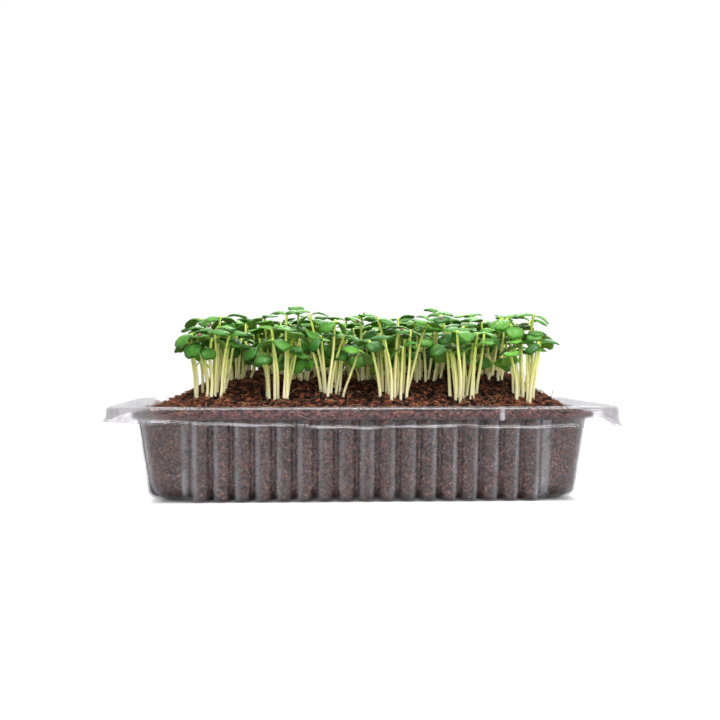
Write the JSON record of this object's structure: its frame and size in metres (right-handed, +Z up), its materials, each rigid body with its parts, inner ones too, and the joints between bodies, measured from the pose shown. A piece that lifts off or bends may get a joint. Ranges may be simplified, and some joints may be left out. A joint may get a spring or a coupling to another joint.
{
  "type": "shiso microgreens in a tray",
  "caption": "Shiso microgreens: bunches of round paired seed leaves on pale stems, growing from coir in a low clear plastic tray with fluted walls and a flat flange",
  "frame": {"origin": "centre of the tray's flat underside, which is also the centre of the overall footprint", "axes": "+X along the tray's length, +Y across it, away from the side the picture shows, +Z up"},
  "size_m": [0.195, 0.1362, 0.0729],
  "materials": {
    "clear_plastic": "clear thermoformed sheet, glossy",
    "coir": "moist red-brown coir, crumbly and fibrous",
    "greens": "living leaf and stem, satin, green above and nearly white at the foot of the stem"
  },
  "bodies": {
    "root": {"tray": "clear_plastic", "growing_medium": "coir", "bunch_01": "greens", "bunch_02": "greens", "bunch_03": "greens", "bunch_04": "greens", "bunch_05": "greens", "bunch_06": "greens", "bunch_07": "greens", "bunch_08": "greens", "bunch_09": "greens", "bunch_10": "greens", "bunch_11": "greens", "bunch_12": "greens", "bunch_13": "greens", "bunch_14": "greens", "bunch_15": "greens", "bunch_16": "greens", "bunch_17": "greens", "bunch_18": "greens", "bunch_19": "greens", "bunch_20": "greens", "bunch_21": "greens", "bunch_22": "greens", "bunch_23": "greens", "bunch_24": "greens", "bunch_25": "greens", "bunch_26": "greens", "bunch_27": "greens", "bunch_28": "greens"}
  },
  "joints": []
}
